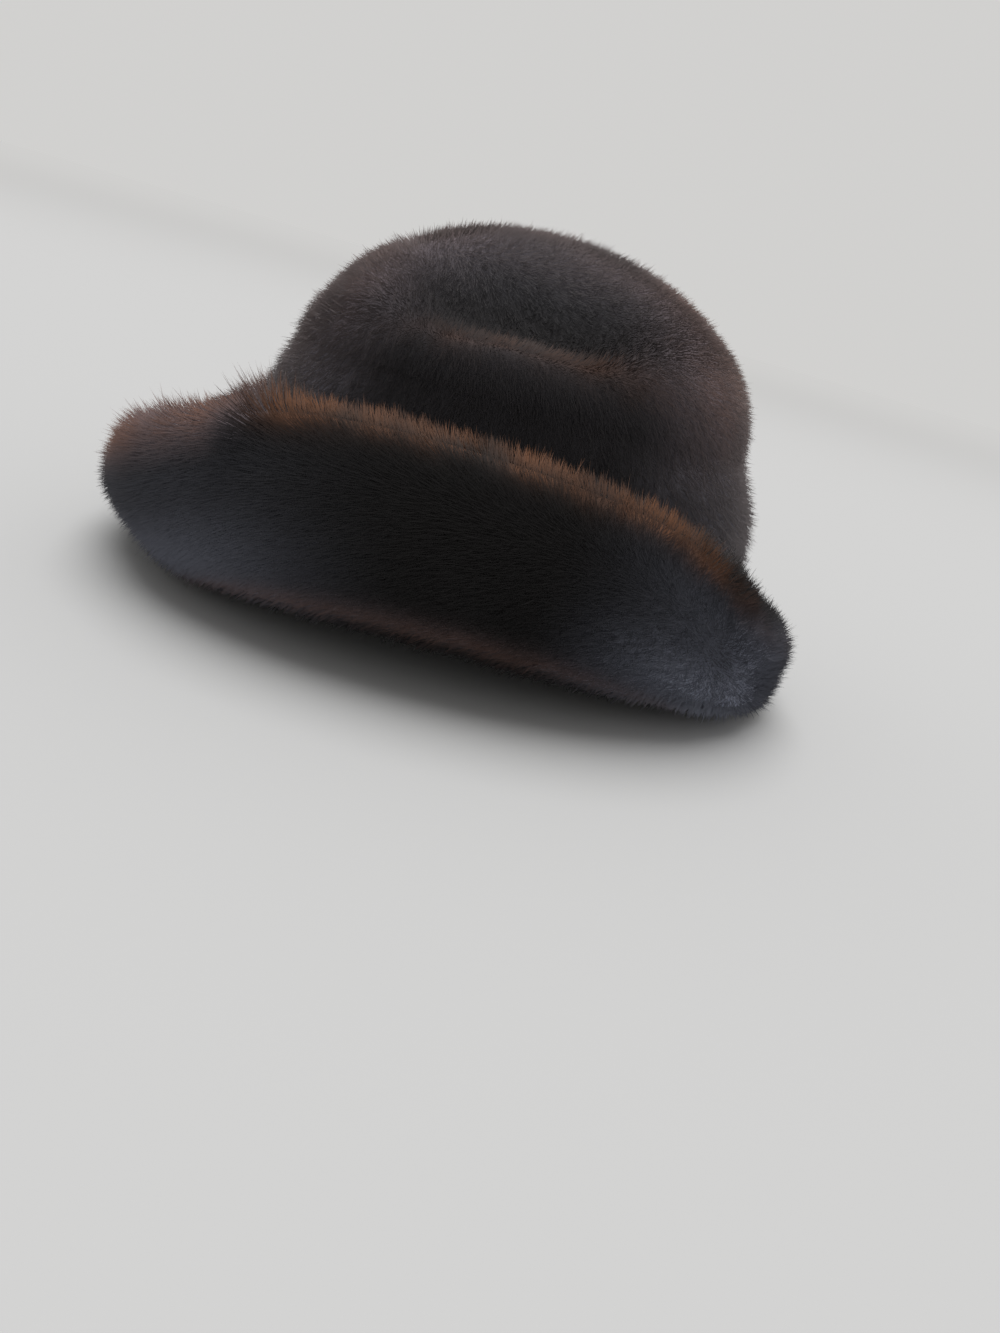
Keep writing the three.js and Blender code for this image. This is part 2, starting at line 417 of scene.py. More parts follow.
def makeHair():
    s = hairShape
    points = [
        (0, 0, 0),
        (-s["halfWidth"], s["arch"], s["widestAt"]),
        (s["halfWidth"], s["arch"], s["widestAt"]),
        (0, -s["tipDrop"], 1),
    ]
    faces = [(0, 1, 2), (1, 3, 2), (0, 3, 1), (0, 2, 3)]
    mesh = bpy.data.meshes.new("hair")
    mesh.from_pydata(points, [], faces)
    mesh.update()
    setField(mesh, "along", np.array([0, s["widestAt"], s["widestAt"], 1.0]))
    setField(mesh, "edge", np.array([0, -1.0, 1.0, 0]))
    hair = bpy.data.objects.new("hair", mesh)
    bpy.context.collection.objects.link(hair)
    return hair


# Geometry Nodes that stand hairs on a skin by its grooming fields
class Tree:
    def __init__(self, name, inputs):
        self.group = bpy.data.node_groups.new(name, "GeometryNodeTree")
        self.group.interface.new_socket("Geometry", in_out="INPUT", socket_type="NodeSocketGeometry")
        for label, (kind, value) in inputs.items():
            socket = self.group.interface.new_socket(label, in_out="INPUT", socket_type=kind)
            if value is not None:
                socket.default_value = value
        self.group.interface.new_socket("Geometry", in_out="OUTPUT", socket_type="NodeSocketGeometry")
        self.inputs = self.group.nodes.new("NodeGroupInput").outputs
        self.result = self.group.nodes.new("NodeGroupOutput").inputs[0]

    def add(self, kind, settings=None, links=None):
        made = self.group.nodes.new(kind)
        for name, value in (settings or {}).items():
            setattr(made, name, value)
        for name, value in (links or {}).items():
            socket = made.inputs[name]
            if isinstance(value, bpy.types.NodeSocket):
                self.group.links.new(value, socket)
            else:
                socket.default_value = value
        return made

    def field(self, name, kind="FLOAT"):
        return self.add("GeometryNodeInputNamedAttribute", {"data_type": kind}, {"Name": name}).outputs[0]

    def vector(self, operation, first, second=None):
        links = {0: first}
        if second is not None:
            links["Scale" if operation == "SCALE" else 1] = second
        return self.add("ShaderNodeVectorMath", {"operation": operation}, links).outputs["Vector"]

    def number(self, operation, *values):
        return self.add("ShaderNodeMath", {"operation": operation}, dict(enumerate(values))).outputs[0]

    def random(self, low, high, seed, kind="FLOAT"):
        made = self.add("FunctionNodeRandomValue", {"data_type": kind}, {"Seed": seed})
        lowest, highest = [socket for socket in made.inputs if socket.enabled][:2]
        lowest.default_value, highest.default_value = low, high
        return [socket for socket in made.outputs if socket.enabled][0]


def makeFurTree():
    tree = Tree("standingFur", {
        "Hair": ("NodeSocketObject", None),
        "Material": ("NodeSocketMaterial", None),
        "Spacing": ("NodeSocketFloat", 0.001),
        "Width": ("NodeSocketFloat", 0.0005),
        "Scatter": ("NodeSocketFloat", 0.3),
        "Seed": ("NodeSocketInt", 1),
        "Tuft Size": ("NodeSocketFloat", hairShape["tuftSize"]),
        "Upright": ("NodeSocketFloat", hairShape["upright"]),
    })
    given = tree.inputs
    seeds = [tree.number("ADD", given["Seed"], k) for k in range(1, 7)]
    # Roots
    square = tree.number("MULTIPLY", given["Spacing"], given["Spacing"])
    crowd = tree.number("DIVIDE", hairShape["tries"], square)
    spread = tree.add("GeometryNodeDistributePointsOnFaces", {"distribute_method": "POISSON"}, {
        "Mesh": given["Geometry"], "Distance Min": given["Spacing"], "Density Max": crowd,
        "Density Factor": tree.field("density"), "Seed": given["Seed"],
    })
    normal = spread.outputs["Normal"]
    # Direction: along the flow and up from the skin, with each hair's own scatter and its tuft's lean
    anyWay = tree.random((-1, -1, -1), (1, 1, 1), seeds[0], "FLOAT_VECTOR")
    lone = tree.vector("SCALE", anyWay, given["Scatter"])
    waves = tree.add("ShaderNodeTexNoise", None, {
        "Vector": tree.add("GeometryNodeInputPosition").outputs[0],
        "Scale": tree.number("DIVIDE", 1.0, given["Tuft Size"]), "Detail": 1.0,
    })
    together = tree.vector("SUBTRACT", waves.outputs["Color"], (0.5, 0.5, 0.5))
    scatter = tree.vector("ADD", lone, tree.vector("SCALE", together, tree.field("tuft")))
    seldom = tree.number("POWER", tree.random(0.0, 1.0, seeds[5]), hairShape["uprightPower"])
    rise = tree.number("ADD", tree.field("rise"), tree.number("MULTIPLY", seldom, given["Upright"]))
    flow = tree.field("flow", "FLOAT_VECTOR")
    flat = tree.vector("SCALE", flow, tree.number("SUBTRACT", 1.0, rise))
    up = tree.vector("SCALE", normal, rise)
    way = tree.vector("NORMALIZE", tree.vector("ADD", tree.vector("ADD", flat, up), scatter))
    axes = {"primary_axis": "Z", "secondary_axis": "Y"}
    aim = tree.add("FunctionNodeAxesToRotation", axes, {"Primary Axis": way, "Secondary Axis": normal})
    # Length and width, with a few longer guard hairs
    length = tree.number("MULTIPLY", tree.field("length"), tree.random(*hairShape["lengths"], seeds[1]))
    guard = tree.number("POWER", tree.random(0.0, 1.0, seeds[2]), hairShape["guardPower"])
    longer = tree.number("ADD", 1.0, tree.number("MULTIPLY", guard, hairShape["guardLonger"]))
    length = tree.number("MULTIPLY", length, longer)
    width = tree.number("MULTIPLY", given["Width"], tree.random(*hairShape["widths"], seeds[3]))
    scale = tree.add("ShaderNodeCombineXYZ", None, {0: width, 1: width, 2: length}).outputs[0]
    shaded = tree.add("GeometryNodeStoreNamedAttribute", {"data_type": "FLOAT", "domain": "POINT"}, {
        "Geometry": spread.outputs["Points"], "Name": "shade", "Value": tree.random(0.0, 1.0, seeds[4]),
    })
    oneHair = tree.add("GeometryNodeObjectInfo", None, {"Object": given["Hair"], "As Instance": False})
    stood = tree.add("GeometryNodeInstanceOnPoints", None, {
        "Points": shaded.outputs[0], "Instance": oneHair.outputs["Geometry"],
        "Rotation": aim.outputs[0], "Scale": scale,
    })
    real = tree.add("GeometryNodeRealizeInstances", None, {"Geometry": stood.outputs[0]})
    finish = {"Geometry": real.outputs[0], "Material": given["Material"]}
    dressed = tree.add("GeometryNodeSetMaterial", None, finish)
    tree.group.links.new(dressed.outputs[0], tree.result)
    return tree.group


furTree = makeFurTree()
hair = makeHair()


def setInput(modifier, label, value):
    for item in modifier.node_group.interface.items_tree:
        if item.item_type == "SOCKET" and item.in_out == "INPUT" and item.name == label:
            modifier[item.identifier] = value


def dropInside(mesh):  # no hair grows on the inner faces, nor on the edge between them and the outer ones
    work = bmesh.new()
    work.from_mesh(mesh)
    inside = work.verts.layers.float["inside"]
    bare = [face for face in work.faces if max(corner[inside] for corner in face.verts) > 0.5]
    bmesh.ops.delete(work, geom=bare, context="FACES")
    work.to_mesh(mesh)
    work.free()


def growFur(name, skin, mask, material, piece, hairs, seed):  # about so many hairs on the masked skin
    grower = skin.copy()
    grower.data = skin.data.copy()
    grower.name = name + "_grower"
    bpy.context.collection.objects.link(grower)
    mesh = grower.data
    mesh.attributes["density"].data.foreach_set("value", readField(mesh, "density") * mask)
    dropInside(mesh)
    area = np.empty(len(mesh.polygons), np.float32)
    mesh.polygons.foreach_get("area", area)
    dense = readField(mesh, "density")
    meanDense = np.array([dense[list(p.vertices)].mean() for p in mesh.polygons])
    spacing = math.sqrt(hairShape["packing"] * float((area * meanDense).sum()) / hairs)
    modifier = grower.modifiers.new("fur", "NODES")
    modifier.node_group = furTree
    setInput(modifier, "Hair", hair)
    setInput(modifier, "Material", material)
    setInput(modifier, "Spacing", spacing)
    setInput(modifier, "Width", piece["width"] * mm)
    setInput(modifier, "Scatter", piece["scatter"])
    setInput(modifier, "Seed", seed)
    grown = grower.evaluated_get(bpy.context.evaluated_depsgraph_get())
    furMesh = bpy.data.meshes.new_from_object(grown)
    furMesh.name = name
    bpy.data.objects.remove(grower)
    finishHairs(furMesh)
    fur = bpy.data.objects.new(name, furMesh)
    bpy.context.collection.objects.link(fur)
    grownHairs = len(furMesh.vertices) // len(hair.data.vertices)
    print(name, grownHairs, "hairs,", len(furMesh.polygons), "triangles")
    return fur


def finishHairs(mesh):
    count = len(mesh.vertices)
    along, edge, shade = (readField(mesh, name) for name in ("along", "edge", "shade"))
    # Pressed flat on what the hat rests on
    points = readVectors(mesh.vertices, "co", count)
    points[:, 2] = np.maximum(points[:, 2], hairShape["restHeight"] + hairShape["restLift"] * along)
    mesh.vertices.foreach_set("co", points.astype(np.float32).ravel())
    # Shaded as a round hair that faces the way its skin does
    normal = np.empty(count * 3, np.float32)
    mesh.attributes["facing"].data.foreach_get("vector", normal)
    normal = normal.reshape(-1, 3)
    normal /= np.linalg.norm(normal, axis=1)[:, None]
    side = np.cross(normal, [0, 0, 1.0])
    bent = normal + side * (edge * hairShape["roundness"])[:, None]
    bent /= np.linalg.norm(bent, axis=1)[:, None]
    # Each hair has its own thin strip of the map, by its shade
    corners = np.empty(len(mesh.loops), np.int32)
    mesh.loops.foreach_get("vertex_index", corners)
    layer = mesh.uv_layers.new(name="OFBake")
    u = hairShape["mapRoot"] + hairShape["mapLength"] * along
    stripAt = hairShape["mapLow"] + hairShape["mapSpread"] * shade + hairShape["mapHalfWidth"] * edge
    uv = np.stack([u, stripAt], -1)
    layer.data.foreach_set("uv", uv[corners].astype(np.float32).ravel())
    mesh.polygons.foreach_set("use_smooth", np.ones(len(mesh.polygons), bool))
    mesh.normals_split_custom_set_from_vertices(bent.tolist())
    for name in ("facing", "edge", "flow", "rise", "length", "density", "tuft", "inside"):
        if name in mesh.attributes:
            mesh.attributes.remove(mesh.attributes[name])
    mesh.update()


# Brim. A place on it is given by the turn from the front, in degrees, and by v across its roll:
# 0 at the head opening underneath, 0.28 at the bottom edge, 0.64 on top of the rim, 1 at the crown.
# Insets, lengths and widths are in millimetres, and rise, tuft and the painted warm light and cool sheen
# are shares
brim = {
    "columns": 180, "rows": 72, "inset": 3.3, "shortFront": 3, "restHeight": 0.6, "fill": 0.7,
    "seamTurn": 61, "seamHalfWidth": 1.5, "lumpHalfWidth": 4.5, "cornerTurn": 40, "cornerHalfWidth": 12,
    "topMiddle": 0.645, "topHalfWidth": 0.075, "rimMiddle": 0.615, "rimHalfWidth": 0.033,
    "underEnds": 0.27, "upperStarts": 0.74,
    "hairs": {"left": 48500, "right": 48500, "upper": 30000, "under": 18000},
    "seeds": {"left": 10, "right": 20, "upper": 30, "under": 40},
    "width": 0.32, "scatter": 0.1, "slot": "brim_fur",
    "length": {"all": 7.5, "top": 0.3, "under": -1.5, "lump": 10.5, "corner": 4, "uneven": 0.5},
    "rise": {"all": 0.3, "top": 0.27, "under": -0.08, "lump": 0.42, "corner": 0.2, "uneven": 0.05},
    "tuft": {"all": 0.1, "top": 1.2, "frontTop": 0.25, "lump": 0.6},
    # Painted light: warm light on the hair tips along the rim and on top of the front section, and light
    # bounced up along the bottom edge. Painted sheen: a cool blue-grey reflection on the outer face
    "warmLight": {"rim": 0.68, "rimUneven": 0.45, "frontTop": 0.62, "bottom": 0.55},
    "coolSheen": {
        "ahead": 0.1, "lowAhead": 0.31, "behind": 0.23, "lowBehind": 0.6, "backEnd": 0.26, "uneven": 0.25,
        "frontTop": 0.34, "lump": 0.03, "bottom": 0.15,
    },
    "sheen": {"weight": 0.05, "tint": colour(0.62, 0.58, 0.6)},
}


def brimPlaces(v, turn):  # where each kind of fur is, from 0 to 1
    seam, soft = brim["seamTurn"], brim["seamHalfWidth"]
    ahead = 1 - ramp(turn, seam - soft, seam + soft)
    top = peak(v, brim["topMiddle"], brim["topHalfWidth"])
    lump = peak(turn, seam, brim["lumpHalfWidth"]) * (1 - ahead) * ramp(v, 0.5, 0.62)
    return {
        "ahead": ahead,  # the front section, in front of the seam across the brim
        "front": ahead * (0.5 + 0.5 * ramp(turn, 6, 34)),  # the same, fading at its middle
        "behind": ramp(turn, 135, 172),
        "top": top,
        "lump": lump,  # standing fur just behind the seam
        "corner": peak(turn, brim["cornerTurn"], brim["cornerHalfWidth"]) * ahead * top,
    }


def makeBrimSkin():
    turns = np.arange(brim["columns"]) / brim["columns"] * 2 * math.pi
    rings = np.empty((brim["rows"], brim["columns"], 3))
    for column, turn in enumerate(turns):
        start = openingEdge(turn)
        out = brimEdge(turn) - start
        out /= np.linalg.norm(out)
        section = brimSection(turn, brim["rows"])
        rings[:, column, :2] = start + out * section[:, :1]
        rings[:, column, 2] = np.maximum(section[:, 1], 0)
    skin = makeSkin("brim_skin", rings)
    points, normals = skinPoints(skin)
    v = np.repeat(np.linspace(0, 1, brim["rows"]), brim["columns"])
    turn = np.tile(np.degrees(turns), brim["rows"])
    turn = np.minimum(turn, 360 - turn)  # the same on both sides
    furred = ramp(v, 0.03, 0.1) * (1 - ramp(v, 0.95, 0.995))
    shortFront = brim["shortFront"] * (1 - ramp(turn, 22, 52))
    shortFront = shortFront * ramp(v, 0.28, 0.4) * (1 - ramp(v, 0.6, 0.68))
    points -= normals * ((brim["inset"] + shortFront) * furred)[:, None]
    points[:, 2] = np.maximum(points[:, 2], brim["restHeight"] * furred)
    setPoints(skin, points)
    setField(skin.data, "facing", normals)
    setField(skin.data, "density", furred)
    setField(skin.data, "inside", 1 - ramp(v, 0.02, 0.08))
    place = brimPlaces(v, turn)
    groomBrim(skin.data, points, normals, v, turn, place, furred)
    paintBrimLight(skin.data, points, v, turn, place)
    return skin, v, points


def groomBrim(mesh, points, normals, v, turn, place, furred):
    ahead, behind, top = place["ahead"], place["behind"], place["top"]
    grid = points.reshape(brim["rows"], brim["columns"], 3)
    across = np.gradient(grid, axis=0).reshape(-1, 3)
    forward = (np.roll(grid, 1, 1) - np.roll(grid, -1, 1)).reshape(-1, 3)
    forward = forward * np.where(points[:, :1] >= 0, 1, -1)
    across /= np.linalg.norm(across, axis=1)[:, None]
    forward /= np.linalg.norm(forward, axis=1)[:, None]
    # Fur runs to the front and up over the rim, upwards at the back, and down over the front edge
    alongBrim = ramp(turn, 2, 34) * (1 - behind)
    overRim = (1.1 * ramp(v, 0.46, 0.62) - 0.2) * (1 - ahead) * (1 - behind) + 0.9 * behind
    overRim += ahead * (0.5 - (0.75 + 0.5 * (1 - alongBrim)) * ramp(v, 0.24, 0.32))
    flow = forward * alongBrim[:, None] + across * overRim[:, None]
    setField(mesh, "flow", alongSkin(flow, normals))
    shared = {"under": 1 - ramp(v, 0.26, 0.36), "corner": place["corner"], "uneven": ripple(points, 34, 3)}
    rise = groomed(brim["rise"], top=top * (1 - 0.6 * ahead), lump=place["lump"], **shared)
    setField(mesh, "rise", np.clip(rise, 0.05, 0.95))
    length = groomed(brim["length"], top=top, lump=place["lump"], **shared)
    setField(mesh, "length", length * (0.25 + 0.75 * furred) * mm)
    front = place["front"]
    frontTop = front * ramp(v, 0.5, 0.6)
    tuft = groomed(brim["tuft"], top=top * (1 - 0.7 * front), frontTop=frontTop, lump=place["lump"])
    setField(mesh, "tuft", tuft)


def paintBrimLight(mesh, points, v, turn, place):
    warmLight, coolSheen = brim["warmLight"], brim["coolSheen"]
    front, lump = place["front"], place["lump"]
    frontTop = front * ramp(v, 0.52, 0.635) * (1 - 0.85 * ramp(v, 0.7, 0.8))
    bottom = peak(v, 0.28, 0.035)
    # Painted light: warm brown where light from above catches the hair tips along the rim and on top of the
    # front section, and light bounced up along the bottom edge
    middle = brim["rimMiddle"] + 0.012 * ripple(points, 40, 6) + 0.01 * peak(turn, 96, 20)
    rim = peak(v, middle, brim["rimHalfWidth"]) * (warmLight["rim"] + warmLight["rimUneven"] * ripple(points, 20, 5))
    rim = rim * (1 - 0.85 * ramp(turn, 118, 150)) * (1 - 0.6 * front) * (1 - 0.6 * lump)
    setShare(mesh, "warmLight", rim + warmLight["frontTop"] * frontTop + warmLight["bottom"] * bottom)
    # Painted sheen: blue-grey, the reflection of the pale surroundings, on the outer face towards the front
    # and the back, most of all low down and near the back end; a little also on top of the front section,
    # on the lump and along the bottom edge
    aboveUnder = ramp(v, 0.18, 0.26)
    low = ramp(v, 0.5, 0.34) * aboveUnder
    ahead = (1 - ramp(turn, 44, 88)) * (coolSheen["ahead"] + coolSheen["lowAhead"] * low) * (1 - ramp(v, 0.5, 0.6))
    end = ramp(turn, 132, 146) * (1 - 0.6 * ramp(turn, 150, 172))
    level = coolSheen["behind"] + coolSheen["lowBehind"] * low + coolSheen["backEnd"] * end
    behind = ramp(turn, 102, 140) * (1 - 0.8 * ramp(turn, 148, 174)) * level
    higher = 0.04 * end  # the patch near the back end reaches further up
    behind = behind * (1 - ramp(v, 0.54 + higher, 0.64 + higher)) * aboveUnder
    behind = behind * (1 + coolSheen["uneven"] * ripple(points, 45, 21) * end)
    patches = ahead + behind + coolSheen["frontTop"] * frontTop
    setShare(mesh, "coolSheen", patches + coolSheen["lump"] * lump + coolSheen["bottom"] * bottom)


brimSkin, brimAcross, brimPoints = makeBrimSkin()
brimFur = makeFurMaterial("brimFur", brim["sheen"])
underfur = makeSkinMaterial("underfur")
brimSkin.data.materials.append(underfur)
under, upper = brimAcross <= brim["underEnds"], brimAcross >= brim["upperStarts"]
outer = ~under & ~upper
brimParts = {
    "left": outer & (brimPoints[:, 0] >= 0), "right": outer & (brimPoints[:, 0] < 0),
    "upper": upper, "under": under,
}
furPieces = []
for part, mask in brimParts.items():
    hairs, seed = brim["hairs"][part], brim["seeds"][part]
    fur = growFur("brim_fur_" + part, brimSkin, mask, brimFur, brim, hairs, seed)
    furPieces.append((fur, brim["slot"]))
print("brim done")

# Side of the crown. In it and in the tip, x and y are how far a place is from the crown's middle,
# sideways and to the back, and z is its height, all in millimetres
crown = {
    "columns": 160, "rows": 30, "innerRows": 8, "inset": 3, "hairs": 44000, "seed": 60,
    "width": 0.32, "scatter": 0.1, "slot": "crown_fur", "downwards": (0, 0.22, -1.0),
    "length": {"all": 7.2, "upper": -0.8, "uneven": 0.5},
    "rise": {"all": 0.42, "upper": 0.04, "uneven": 0.05},
    "tuft": 0.15, "sheen": {"weight": 0.42, "tint": colour(0.75, 0.67, 0.66)},
    "deeper": {"shoulder": 1.5, "upperBack": 4.2}, "fuller": {"front": 3.5, "lowBack": 2.2},
    # haze is a painted sheen, where the fur's tips catch the light, and it carries the painted warm light
    # and cool sheen
    "haze": {"all": 0.85, "uneven": 0.25, "moreAtBack": 0.55, "lessAtTop": 0.3},
    "warmLight": {"all": 0.02, "haze": 0.13, "highHaze": 0.46},
    "coolSheen": {"all": 0.024, "haze": 0.19, "strongHaze": 0.1},
}


def crownInset(points):  # the skin lies deeper at the top of the back, and the fur is fuller on the front
    deeper, fuller = crown["deeper"], crown["fuller"]
    y, z = points[:, 1] - hat["crownSetBack"], points[:, 2]
    shoulder = deeper["shoulder"] * ramp(-y, 30, 60) * ramp(z, 116, 134)
    front = fuller["front"] * ramp(-y, 45, 85) * ramp(z, 50, 85) * (1 - ramp(z, 104, 128))
    back = deeper["upperBack"] * ramp(z, 74, 134) - fuller["lowBack"] * ramp(z, 45, 70)
    return shoulder - front + ramp(y, 30, 85) * back


# Painted sheen: the light that the fur catches towards its outline, painted into its colour
def crownHaze(points):  # grows towards the front, the top and the back, where the fur catches the light
    amounts = crown["haze"]
    y, z = points[:, 1] - hat["crownSetBack"], points[:, 2]
    away = np.hypot(y / hat["domeHalfLength"], np.maximum(z - hat["tipSeamHeight"], 0) / hat["domeRise"])
    haze = ramp(away, 0.42, 0.95) * (amounts["all"] + amounts["uneven"] * ripple(points, 32, 12))
    haze = haze * (1 + amounts["moreAtBack"] * ramp(y, 25, 70) * ramp(z, 90, 140))
    return haze * (1 - amounts["lessAtTop"] * ramp(z, 158, 172))


# Painted light: the warm light and the cool sheen, from the painted haze
def crownLightShares(points, haze):  # shares of the warm and the cool colour, alike on both sides of the seam
    warmLight, coolSheen = crown["warmLight"], crown["coolSheen"]
    warmth = warmLight["all"] + (warmLight["haze"] + warmLight["highHaze"] * ramp(points[:, 2], 74, 146)) * haze
    return warmth, coolSheen["all"] + coolSheen["haze"] * haze + coolSheen["strongHaze"] * ramp(haze, 1.0, 1.5)


def outFromMiddle(points):
    out = points * [1, 1, 0] - [0, hat["crownSetBack"], 0]
    return out / np.maximum(np.linalg.norm(out, axis=1), 1e-6)[:, None]


def makeCrownSkin():
    turns = np.arange(crown["columns"]) / crown["columns"] * 2 * math.pi
    low = hat["brimSeamHeight"] + hat["seamGap"]
    outside = np.linspace(low, hat["tipSeamHeight"], crown["rows"])
    within = np.linspace(hat["tipSeamHeight"], low, crown["innerRows"])
    rings = []
    for heights, inset in ((outside, 0), (within, hat["wallThickness"])):
        for height in heights:
            edge = crownEdge(turns, height, inset)
            rings.append(np.column_stack([edge, np.full(len(turns), height)]))
    rings = np.array(rings)
    rims = (0, crown["rows"] - 1, crown["rows"], len(rings) - 1)
    skin = makeSkin("crown_side_skin", rings, rims=rims)
    points, normals = skinPoints(skin)
    ring = np.repeat(np.arange(len(rings)), crown["columns"])
    outer = ring < crown["rows"]
    out = outFromMiddle(points)
    normals = np.where(outer[:, None], out, normals)
    upper = ramp(points[:, 2], 85, 110)
    points -= out * ((crown["inset"] + crownInset(points)) * outer)[:, None]
    setPoints(skin, points)
    noise = ripple(points, 30, 7)
    flow = np.array(crown["downwards"]) + np.array([0, 0.25, 0]) * noise[:, None]
    setField(skin.data, "facing", normals)
    setField(skin.data, "flow", alongSkin(flow, normals))
    setShare(skin.data, "rise", groomed(crown["rise"], upper=upper, uneven=noise))
    setField(skin.data, "length", groomed(crown["length"], upper=upper, uneven=noise) * mm)
    setField(skin.data, "density", outer.astype(float))
    # Painted sheen and warm light on the side of the crown
    warmLight, coolSheen = crownLightShares(points, crownHaze(points))
    setShare(skin.data, "warmLight", warmLight)
    setShare(skin.data, "coolSheen", coolSheen)
    setField(skin.data, "tuft", np.full(len(points), crown["tuft"]))
    setField(skin.data, "inside", 1.0 - outer)
    return skin, outer


crownSkin, crownOuter = makeCrownSkin()
crownFur = makeFurMaterial("crownFur", crown["sheen"])
crownSkin.data.materials.append(underfur)
fur = growFur("crown_side_fur", crownSkin, crownOuter, crownFur, crown, crown["hairs"], crown["seed"])
furPieces.append((fur, crown["slot"]))
print("crown side done")

# Tip of the crown, with a long dent on each side: a lip, a trough inside it, and a wide basin
# up to the middle. Each is a strip, given by its middle and half width across the hat and its
# middle and half length along it
tip = {
    "columns": 160, "rows": 36, "innerRows": 10, "inset": 3, "hairs": 46000, "seed": 80,
    "width": 0.32, "scatter": 0.1, "slot": "tip_fur", "lowLip": 1.0, "fullTrough": 2.2,
    "length": {"all": 6.4, "basin": -1.2, "uneven": 0.4},
    "rise": {"all": 0.46, "lip": -0.06, "dent": -0.12, "uneven": 0.05},
    "tuft": {"all": 0.12, "crest": 0.2}, "sheen": crown["sheen"],
    "strips": {
        "lip": (82, 8, 0, 56), "crest": (80, 9, 0, 58), "trough": (65, 9, 4, 58),
        "basin": (50, 25, -2, 56), "hollow": (57, 19, 0, 47),
    },
    "facing": {"own": 0.3, "dome": 0.7, "outward": 0.45, "upward": 0.9},
    # Painted light in the dent: less warm light in the basin, a painted highlight on the crest, painted
    # shade in the hollow, and a little more cool sheen at the top
    "warmLight": {"basinLess": 0.02, "crest": 0.36},
    "coolSheen": {"hollowLess": 0.6, "top": 0.02},
}


def strip(name, x, y, power=4):  # the higher the power, the more sudden its ends
    across, halfWidth, along, halfLength = tip["strips"][name]
    return peak(x, across, halfWidth) * np.exp(-(abs((y - along) / halfLength) ** power))


def makeTipSkin():
    turns = np.arange(tip["columns"]) / tip["columns"] * 2 * math.pi
    rise = hat["domeRise"]
    rings = []
    for ring in range(tip["rows"], -1, -1):
        rings.append(domePoints(turns, ring / (tip["rows"] + 1) * math.pi / 2, 0, rise))
    for ring in range(tip["innerRows"] + 1):
        climb = ring / (tip["innerRows"] + 1) * math.pi / 2
        rings.append(domePoints(turns, climb, hat["wallThickness"], rise - hat["tipWall"]))
    rings = np.array(rings)
    summit = hat["tipSeamHeight"] + hat["seamGap"] + rise
    poles = np.array([[0, hat["crownSetBack"], summit], [0, hat["crownSetBack"], summit - hat["tipWall"]]])
    skin = makeSkin("crown_tip_skin", rings, poles, rims=(tip["rows"], tip["rows"] + 1))
    points, normals = skinPoints(skin)
    ring = np.concatenate([np.repeat(np.arange(len(rings)), tip["columns"]), [0, len(rings)]])
    outer = ring <= tip["rows"]
    edge = ring == tip["rows"]
    normals = np.where(edge[:, None], outFromMiddle(points), normals)
    x, y = abs(points[:, 0]), points[:, 1] - hat["crownSetBack"]
    lip = strip("lip", x, y)
    trough = strip("trough", x, y)
    depth = tip["inset"] + crownInset(points) + tip["lowLip"] * lip - tip["fullTrough"] * trough
    points -= normals * (depth * outer)[:, None]
    points[edge, 2] = hat["tipSeamHeight"]
    setPoints(skin, points)
    setField(skin.data, "density", outer.astype(float))
    setField(skin.data, "inside", 1.0 - outer)
    groomTip(skin.data, points, normals, x, y, lip, trough)
    return skin, outer


def groomTip(mesh, points, normals, x, y, lip, trough):
    z = points[:, 2]
    basin = strip("basin", x, y)
    # Painted shade: the hollow is where the dent is painted darkest
    hollow = strip("hollow", x, y)  # the darkest part of the dent
    # Painted highlight along the crest of the lip, where light from above catches the fur
    crest = strip("crest", x, y, 2.5) * ramp(z, 116, 132) * (0.8 + 0.4 * ripple(points, 18, 15))
    noise = ripple(points, 30, 9)
    # The dent doesn't part the fur, which lies as on a dome with no dents: outwards, down and a little back
    halves = np.array([hat["domeHalfWidth"], hat["domeHalfLength"], hat["domeRise"]])
    plain = (points - [0, hat["crownSetBack"], hat["tipSeamHeight"]]) / halves ** 2
    plain /= np.linalg.norm(plain, axis=1)[:, None]
    down = np.array(crown["downwards"])
    back = np.array([0, 1.0, 0]) * (0.12 + 0.6 * ramp(z, 148, 170))[:, None]
    flow = down - plain * (plain @ down)[:, None] + back
    setField(mesh, "flow", alongSkin(flow, normals))
    # Shaded mostly as that dome, turned outwards in the dent, and upwards on the inner wall of its lip
    outward = np.sign(points[:, :1]) * [1.0, 0, 0]
    innerWall = np.clip(-3 * np.einsum("ij,ij->i", normals, outward), 0, 1)
    shares = tip["facing"]
    turned = outward * (shares["outward"] * hollow * (1 - innerWall))[:, None]
    facing = normals * shares["own"] + plain * shares["dome"] + turned
    setField(mesh, "facing", facing + np.array([0, 0, shares["upward"]]) * innerWall[:, None])
    setShare(mesh, "rise", groomed(tip["rise"], lip=lip, dent=np.maximum(basin, trough), uneven=noise))
    setField(mesh, "length", groomed(tip["length"], basin=basin, uneven=noise) * mm)
    setField(mesh, "tuft", groomed(tip["tuft"], crest=crest))
    # Painted light as on the side of the crown, less in the basin, with a painted highlight on the crest
    # and painted shade in the hollow
    warmLight, coolSheen = crownLightShares(points, crownHaze(points) * (1 - 0.95 * basin))
    setShare(mesh, "warmLight", warmLight - tip["warmLight"]["basinLess"] * basin + tip["warmLight"]["crest"] * crest)
    coolTop = tip["coolSheen"]["top"] * ramp(z, 135, 160)
    setShare(mesh, "coolSheen", coolSheen * (1 - tip["coolSheen"]["hollowLess"] * hollow) + coolTop)


